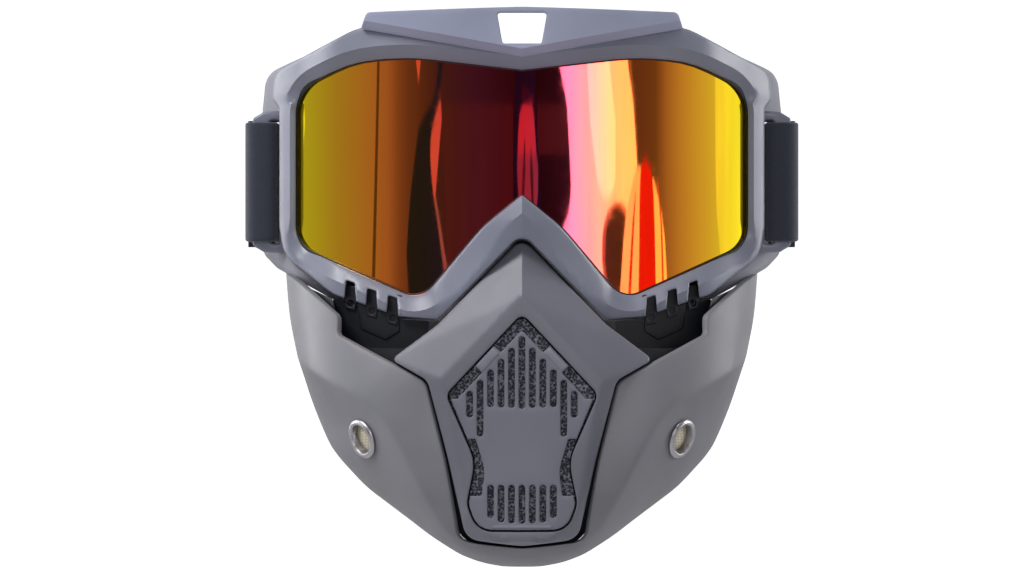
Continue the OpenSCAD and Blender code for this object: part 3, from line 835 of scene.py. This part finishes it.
def surface_at(flat):
    """The mask's front at a flat point: the place, the outward normal and the two tangents."""
    e = 0.4
    spots = flat + np.array([(0, 0), (e, 0), (-e, 0), (0, e), (0, -e)])
    p, right, left, up, low = mask_place(spots, 0, 0.0)
    du, dv = right - left, up - low
    n = np.cross(du, dv)
    n /= norm(n)
    return p, (n if n[1] < 0 else -n), du / (2 * e), dv / (2 * e)


def round_hole(s):
    """The round hole for an eyelet, in the mask's flat coordinates."""
    _, n, du, dv = surface_at(eye_uv[s])
    t1 = np.cross(n, (0, 0, 1.0))
    t1 /= norm(t1)
    t2 = np.cross(n, t1)
    m = np.stack([du, dv], axis=1)
    out = []
    for k in range(40):
        a = 2 * math.pi * k / 40
        q = (t1 * math.cos(a) + t2 * math.sin(a)) * EYELET_HOLE_R
        out.append(eye_uv[s] + np.linalg.lstsq(m, q, rcond=None)[0])
    return np.array(out)


mask = slab("mask_body", [shell_loop, round_hole(1), round_hole(-1)], mask_place, mask_grey,
            edge=0.55, back_edge=0.5, step=1.5)
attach(mask, "mask")
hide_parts("mask_shell")

# Eyelets, their washers and their screens
for s, side in SIDES:
    p, n, _, _ = surface_at(eye_uv[s])
    ring = [(4.65, -3.4), (5.3, -3.4), (5.35, 0.15), (6.55, 0.15), (6.7, 0.45), (6.55, 0.85), (6.1, 1.2),
            (5.5, 1.35),
            (5.0, 1.2), (4.7, 0.7)]
    piece = lathe(f"eyelet_ring_{side}", ring, p, n, nickel)
    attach(piece, "mask")
    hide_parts(f"eyelet_{side}")
    washer = [(5.4, -3.3), (6.4, -3.3), (6.6, -3.1), (6.6, -2.7), (6.4, -2.5), (5.4, -2.5)]
    piece = lathe(f"washer_{side}", washer, p, n, nickel)
    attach(piece, "mask")
    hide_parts(f"eyelet_washer_{side}")
    domed = [(0.001, -0.5), (1.6, -0.55), (3.0, -0.75), (4.1, -1.1), (4.75, -1.5), (4.75, -2.0),
             (0.001, -1.6)]
    piece = lathe(f"screen_{side}", domed, p, n, gauze)
    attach(piece, "mask")
    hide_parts(f"eyelet_gauze_{side}")

# Nose panel: the front of a faceted form, given by its right half's corners as (x, y, z)
FORM = [
    (0, -50, -17), (0, -62, -38), (27, -61.3, -66), (24.8, -62, -71.5), (19.5, -62, -92), (17.8, -62, -109),
    (9, -62, -118.5), (29, -51.5, -46), (45.5, -50.5, -59), (36, -55.5, -68), (26.5, -57.5, -92),
    (21, -56, -116), (10, -55, -123), (0, -54.5, -123)]


def form_planes():
    """The front facets of the form's convex hull, each as its slopes and its height."""
    bm = bmesh.new()
    for x, y, z in FORM:
        for s in (1, -1):
            for back in (0, 40):
                bm.verts.new((s * x, y + back, z))
    bmesh.ops.remove_doubles(bm, verts=bm.verts, dist=1e-4)
    bmesh.ops.convex_hull(bm, input=bm.verts)
    planes = set()
    for f in bm.faces:
        f.normal_update()
        n = f.normal
        if n.y < -0.05:
            c = f.calc_center_median()
            planes.add((round(-n.x / n.y, 4), round(-n.z / n.y, 4), round((n.dot(c)) / n.y, 3)))
    bm.free()
    return sorted(planes)


PLANES = form_planes()
PANEL_THICK = 3.4


def form_front(p):
    """The form's height, with its creases softened a little."""
    soft = 0.09
    heights = np.stack([k + a * p[:, 0] + b * p[:, 1] for a, b, k in PLANES], axis=1)
    m = heights.max(axis=1)
    return m + soft * np.log(np.sum(np.exp((heights - m[:, None]) / soft), axis=1))


panel = slab("nose_guard", [outline(panel_line, 1.2), outline(grown(grille_line, 0.35), 1.0)],
             relief(form_front, lambda p: form_front(p) + PANEL_THICK), panel_grey, edge=0.55, back_edge=0.3,
             step=1.2,
             creases=[[(0, -23), (0, -38), (25.9, -65)], [(0, -38), (-25.9, -65)]], smooth=26)
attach(panel, "mask")
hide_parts("nose_panel")

# Small dark tabs behind the panel's upper corners, which close the gap to the carrier: a dark sheet that
# stands for the shadow in that gap, a painted shadow
tab = [(26.9, -46.2, 0.2), (30.6, -46.0, 0.3), (30.8, -50.0, 0.3), (29.0, -49.2, 0.3)]
TAB_FRONT, TAB_BACK = -49.6, -48.4
for sign, side in SIDES:
    piece = slab(f"gap_shadow_tab_{side}", [outline(tab if sign > 0 else flipped(tab), 1)],
                 relief(level(TAB_FRONT), level(TAB_BACK)), black_plastic, edge=0.2, step=1)
    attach(piece, "mask")
    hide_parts("nose_panel")

# Grille insert: slots right through it, with rounded ends, listed as (top, bottom) from the middle outwards
GRILLE_FRONT, GRILLE_BACK = -61.8, -59.8
CLIP_FRONT, CLIP_BACK = -61.98, -61.0
FILTER_FRONT, FILTER_BACK = -60.6, -53.0
PITCH, WIDE = 3.43, 2.1
upper = [(-51.5, -75.2), (-55.3, -74.9), (-58.9, -74.8), (-62.4, -74.7), (-65.8, -84.3), (-69.4, -78.1)]
lower = [(-100.2, -112.9), (-100.2, -112.8), (-100.2, -112.5), (-100.2, -111.0)]


def slot_loop(x, top_z, low_z):
    """One slot, with its ends rounded almost to half circles."""
    r = WIDE / 2
    k = r * 0.95
    return outline([(x - r, top_z, k), (x + r, top_z, k), (x + r, low_z, k), (x - r, low_z, k)], 1.2)


insert_line = mirrored([
    (0, -49.4, 1.2), (6.9, -56.7, 0.5), (9.2, -54.6, 0.4), (15.4, -61.2, 0.4), (13.1, -63.4, 0.5),
    (20.2, -71.0, 0.6), (21.0, -71.9, 0.3), (23.4, -71.9, 0.5), (17.9, -85.1, 0.4), (15.2, -85.1, 0.6),
    (12.1, -95.5, 14), (13.3, -103.8, 0.6), (16.9, -103.8, 0.4), (17.6, -106.7, 6), (14.2, -114.9, 6.8),
    (0, -115.0, 40)])
slots = [slot_loop(i * PITCH, *upper[abs(i)]) for i in range(-5, 6)]
slots += [slot_loop(i * PITCH, *lower[abs(i)]) for i in range(-3, 4)]
grille = slab("grille_insert", [outline(insert_line, 1.0)] + slots,
              relief(level(GRILLE_FRONT), level(GRILLE_BACK)), grille_grey, edge=0.35, back_edge=0.2,
              step=1.5)
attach(grille, "grille")
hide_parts("vent_grille")

# The clips that hold the insert: one on each upper edge, and the one along the bottom, in a grey lighter than
# the grille's that is a painted highlight
upper_clip = [(7.5, -57.0, 0.3), (9.3, -55.2, 0.3), (15.0, -61.3, 0.3), (13.1, -63.0, 0.3)]
for name, shape in (("clip_right", upper_clip), ("clip_left", flipped(upper_clip)),
                    ("clip_low", [(-9.7, -113.45, 0.3), (9.7, -113.45, 0.3), (9.7, -114.4, 0.3),
                                  (-9.7, -114.4, 0.3)])):
    piece = slab(name, [outline(shape, 1.0)], relief(level(CLIP_FRONT), level(CLIP_BACK)),
                 clip_highlight_grey, edge=0.2, back_edge=0.1, step=1.2)
    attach(piece, "grille")
    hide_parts("vent_grille")

filter_pad = slab("filter_pad", [outline(grown(grille_line, -0.05), 1.5)],
                  relief(level(FILTER_FRONT), level(FILTER_BACK)), speckled_foam, edge=0.3, step=2)
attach(filter_pad, "grille")
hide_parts("filter_foam")

# CAD pieces shown as they are
for node, look in (("vent_foam", dark_foam), ("inner_carrier", black_plastic), ("nose_pad", dark_foam),
                   ("filter_cover", black_plastic), ("strap_adjuster_left", black_plastic),
                   ("strap_adjuster_right", black_plastic)):
    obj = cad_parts[node]
    for i in range(len(obj.material_slots)):
        obj.material_slots[i].link = "OBJECT"
        obj.material_slots[i].material = look

# -------- camera, stage and light


def flat_look(name, color, glow=0.0):
    """Matt paper for the stage, lit from within where it glows."""
    rough = 0.9
    m = Looks(name, color, rough)
    m.set(m.shader, "Roughness", m.remap(m.noise(3, 2), 0, 1, rough - 0.05, min(1, rough + 0.05)))
    if glow:
        m.set(m.shader, "Emission Color", (*color, 1))
        m.set(m.shader, "Emission Strength", glow)
    return m.mat


def sheet_of(name, rows, material):
    """A stage sheet through rows of points in metres."""
    verts, faces = [], []
    for row in rows:
        verts += list(row)
    n = len(rows[0])
    for j in range(len(rows) - 1):
        faces += [(j * n + i, j * n + i + 1, (j + 1) * n + i + 1, (j + 1) * n + i) for i in range(n - 1)]
    obj = make(name, [(x / MM, y / MM, z / MM) for x, y, z in verts], faces, material)
    return obj


FLOOR_Z, STAGE_HALF, WALL_Y, WALL_TOP = -0.55, 9, 7, 6
floor_look = flat_look("stage_floor", (0.66, 0.66, 0.67))
wall_look = flat_look("stage_wall", (0.9, 0.9, 0.9), glow=0.95)
sides = (-STAGE_HALF, STAGE_HALF)
sheet_of("floor", [[(x, y, FLOOR_Z) for x in sides] for y in (-STAGE_HALF, WALL_Y)], floor_look)
sheet_of("backdrop", [[(x, WALL_Y, z) for x in sides] for z in (FLOOR_Z, WALL_TOP)], wall_look)

camera = bpy.data.objects.new("camera", bpy.data.cameras.new("camera"))
scene.collection.objects.link(camera)
camera.location = (-0.0033, -2.545, -0.0356)
camera.rotation_euler = (math.pi / 2, 0, 0)
# The view is 0.338 m wide at 2.5 m from the camera
SENSOR, VIEW_AWAY, VIEW_WIDE = 36, 2.5, 0.338
camera.data.sensor_width = SENSOR
camera.data.lens = SENSOR * VIEW_AWAY / VIEW_WIDE
camera.data.clip_start, camera.data.clip_end = 0.05, 50
scene.camera = camera

scene.view_settings.view_transform = "Standard"

world = bpy.data.worlds.new("world")
scene.world = world
world.use_nodes = True
sky = world.node_tree.nodes["Background"].inputs
sky[0].default_value, sky[1].default_value = (1, 1, 1, 1), 0.13


def softbox(name, at, toward, size, watts, spread=180):
    """A rectangular lamp that the camera doesn't see. Its spread is in degrees."""
    data = bpy.data.lights.new(name, "AREA")
    data.shape = "RECTANGLE"
    data.size, data.size_y = size
    data.energy = watts
    data.spread = math.radians(spread)
    obj = bpy.data.objects.new(name, data)
    obj.location = at
    obj.rotation_euler = (Vector(toward) - Vector(at)).to_track_quat("-Z", "Y").to_euler()
    scene.collection.objects.link(obj)
    obj.visible_camera = False
    return obj


MIDDLE = (0, 0, -0.03)
softbox("key_left", (-1.4, -0.8, 1.75), MIDDLE, (0.8, 0.8), 38)
softbox("fill_front", (0.2, -2.7, 0.7), MIDDLE, (1.2, 0.8), 15)
softbox("rim_left", (-1.7, 0.65, 0.4), MIDDLE, (0.6, 1.4), 4.2, spread=80)
softbox("rim_right", (1.7, 0.45, 0.4), MIDDLE, (0.6, 1.4), 4.4, spread=80)
softbox("top", (0.2, -0.9, 1.9), (0, 0, 0), (1.2, 0.8), 9)

# What stands round the camera, seen only in the mirror lens: a dim room with lit and dark panels
CAMERA = np.array(camera.location)


def bounce(x, z, r):
    """Where the camera's ray, thrown back by the lens at (x, z) in millimetres, lands at r from its axis."""
    x, z = x * MM, z * MM
    axis_y, lens_r = LENS_AXIS * MM, LENS_R * MM
    p = np.array([x, axis_y - math.sqrt(lens_r ** 2 - x ** 2), z])
    n = np.array([x, p[1] - axis_y, 0]) / lens_r
    d = (p - CAMERA) / norm(p - CAMERA)
    d = d - 2 * (d @ n) * n
    q = p - (0, axis_y, 0)
    a, b, c = d[0] ** 2 + d[1] ** 2, q[0] * d[0] + q[1] * d[1], q[0] ** 2 + q[1] ** 2 - r * r
    return p + d * ((-b + math.sqrt(b * b - a * c)) / a)


def panel_light(name, color, strength):
    """An evenly lit or dark panel, slightly uneven as cloth over a lamp is."""
    m = Looks(name, (0, 0, 0), 1.0, Specular_IOR_Level=0.0)
    m.set(m.shader, "Emission Color", (*color, 1))
    m.set(m.shader, "Emission Strength", m.remap(m.noise(16, 2), 0.2, 0.8, strength * 0.92, strength * 1.08))
    return m.mat


def seen_panel(name, zs, lefts, rights, light, r):
    """A panel that appears on the lens between two edges, given at heights zs from the top down."""
    rows = []
    for z in np.linspace(zs[0], zs[-1], 22):
        a, b = (np.interp(-z, [-k for k in zs], edge) for edge in (lefts, rights))
        rows.append([tuple(bounce(x, z, r)) for x in np.linspace(a, b, 8)])
    obj = sheet_of(f"seen_{name}", rows, PANEL_LIGHTS[light])
    obj.visible_camera = obj.visible_diffuse = False
    return obj


def dim_room():
    """The room's own wall: bright at the far sides and dark behind the camera."""
    m = Looks("dim_room", (0, 0, 0), 1.0, Specular_IOR_Level=0.0)
    x = m.node("ShaderNodeSeparateXYZ", {0: m.place}).outputs
    az = m.math("ARCTAN2", x[0], m.math("SUBTRACT", LENS_AXIS * MM, x[1]))
    stops = [(-96, .50), (-86, .40), (-70, .36), (-55, .38), (-49, .34), (-45, .21), (-41, .14), (-36, .10),
             (-30, .062), (-14, .05), (-3, .035),
             (5, .022), (15, .03), (44, .14), (49, .16), (53.5, .36), (59, .50), (66, .60), (75, .68),
             (96, .75)]
    stops = [((at + 100) / 200, (v, v, v)) for at, v in stops]
    m.set(m.shader, "Emission Color", m.tint(m.remap(az, -math.radians(100), math.radians(100)), stops))
    m.set(m.shader, "Emission Strength", 1.0)
    return m.mat


ROOM_R = 1.34
turns = np.radians(np.linspace(-98, 98, 80))
wall = [[(ROOM_R * math.sin(a), LENS_AXIS * MM - ROOM_R * math.cos(a), z) for a in turns] for z in (-0.13,
                                                                                                    0.17)]
wall = sheet_of("room_wall", wall, dim_room())
wall.visible_camera = wall.visible_diffuse = False

WHITE = (1, 1, 1)
PANEL_LIGHTS = {name: panel_light(f"{name}_panel", color, strength) for name, color, strength in (
    ("black", (0.12, 0.32, 0.7), 0.14), ("dusk", (1, 0.85, 0.65), 0.078), ("bright", WHITE, 3.1),
    ("glare", WHITE, 4.4), ("half", WHITE, 2.0), ("side", WHITE, 0.98), ("streak", (1, 0.5, 0.5), 0.66),
    ("ember", WHITE, 0.36), ("red", (0.95, 0.05, 0.04), 0.95), ("shade", WHITE, 0.09))}

# Name, heights, left and right edges in millimetres on the lens, light, and metres from the lens's axis
for spec in (
    ("side_left", [33, 28, 20, 10, 0, -8], [-75.9] * 6, [-74.2, -72.9, -72.4, -73.2, -74.4, -75.0],
     "side", 1.30),
    ("line_left", [45, -40], [-47.9, -50.0], [-47.1, -48.9], "shade", 1.30),
    ("corner_left", [43, 34], [-35.4, -34.4], [-33.3, -34.1], "streak", 1.30),
    ("dusk_left", [26, -42], [-27, -24], [-3, -3], "dusk", 1.33),
    ("dusk_right", [26, 9], [5, 5], [15, 15], "dusk", 1.33),
    ("post_left", [43, 38.6, 31, 26.6, 21.5, 18.4, 8.9, -3.1, -12.6, -25.3, -36.3, -45],
     [-27.5, -27.7, -28.5, -29.7, -32.8, -34.2, -35.5, -36.9, -37.6, -38.3, -37.6, -37],
     [-26.0, -26.2, -27.1, -27.5, -29.0, -29.7, -30.4, -29.7, -28.1, -26.5, -25, -23], "black", 1.30),
    ("streak_left", [27, 21.5, 15.2, 8.9, 2.6, -5], [-27.3, -28.9, -30.2, -30.4, -30.0, -29.2],
     [-26.9, -26.5, -27.1, -27.6, -28.1, -28.7], "streak", 1.29),
    ("rim_left", [-5, -12.6, -25.3, -36], [-29.2, -28.1, -26.5, -25], [-28.5, -27.3, -25.4, -23.6],
     "ember", 1.285),
    ("post_middle", [48, 26, 10, -12], [-2.2, -2.4, -2.7, -2.8], [4.3, 4.3, 5.4, 6.4], "black",
     1.30),
    ("streak_middle", [26, 23, 16, 9], [0.2, -0.8, -1.3, -1.5], [3.2, 3.8, 4.3, 4.7], "streak",
     1.29),
    ("ember_middle", [9, 5, -4, -12], [-1.5, -1.7, -1.3, -1.0], [4.7, 5.3, 5.2, 4.6], "ember", 1.29),
    ("vein_one", [14, 4, -12], [0.7, 0.2, -0.4], [1.0, 1.1, 0.4], "shade", 1.28),
    ("vein_two", [11, 4, -12], [2.8, 2.6, 3.3], [3.0, 3.6, 3.9], "shade", 1.28),
    ("window", [48, 37.7, 26.8, 5, -4, -11.5, -17, -30, -48],
     [11.2, 12.5, 14.8, 16, 16.3, 15.4, 13.4, 12, 12],
     [34.4, 35.2, 36.8, 38.2, 38.4, 38.6, 38.8, 39, 39], "bright", 1.30),
    ("glare", [48, 20, 0, -6], [21, 22.5, 25, 27], [28, 31, 31, 29], "glare", 1.295),
    ("edge", [48, 37.7, 26.8, 5], [34.4, 35.2, 36.8, 38.2], [35.6, 36.3, 37.5, 38.7], "ember", 1.29),
    ("hollow_rim", [-7.6, -10, -15, -20, -28, -42], [30.8, 28.6, 27.2, 26.6, 26.5, 28.4],
     [32.8, 34.9, 35.4, 35.0, 34.4, 33],
     "streak", 1.285),
    ("hollow", [-9.4, -11.4, -15, -20, -28, -42], [31, 29.6, 28.3, 27.7, 27.5, 29.2],
     [32.4, 34.0, 34.4, 34.2, 33.6, 32.2],
     "shade", 1.28),
    ("cloth", [4.5, 0, -10, -20, -42], [38.0, 36.8, 34.8, 33.7, 32.2], [40.5, 43.8, 46.2, 47.4, 48.6],
     "half", 1.27),
    ("cloth_red", [6, 3, -5, -20, -42], [39.9, 39.3, 39.0, 38.9, 38.5], [41.4, 43.0, 43.7, 44.1, 44.5],
     "red", 1.26),
    ("fold_one", [-4, -15, -42], [37.6, 36.6, 34.9], [37.8, 37.2, 35.9], "red", 1.26),
    ("fold_two", [0, -15, -42], [44.9, 46.0, 46.7], [45.1, 46.5, 47.3], "red", 1.26),
    ("side_right", [48, 25, 5, -10, -28, -45], [64.3, 64.4, 64.5, 64.9, 66.4, 67.4], [76.4] * 6,
     "side", 1.30),
):
    seen_panel(*spec)
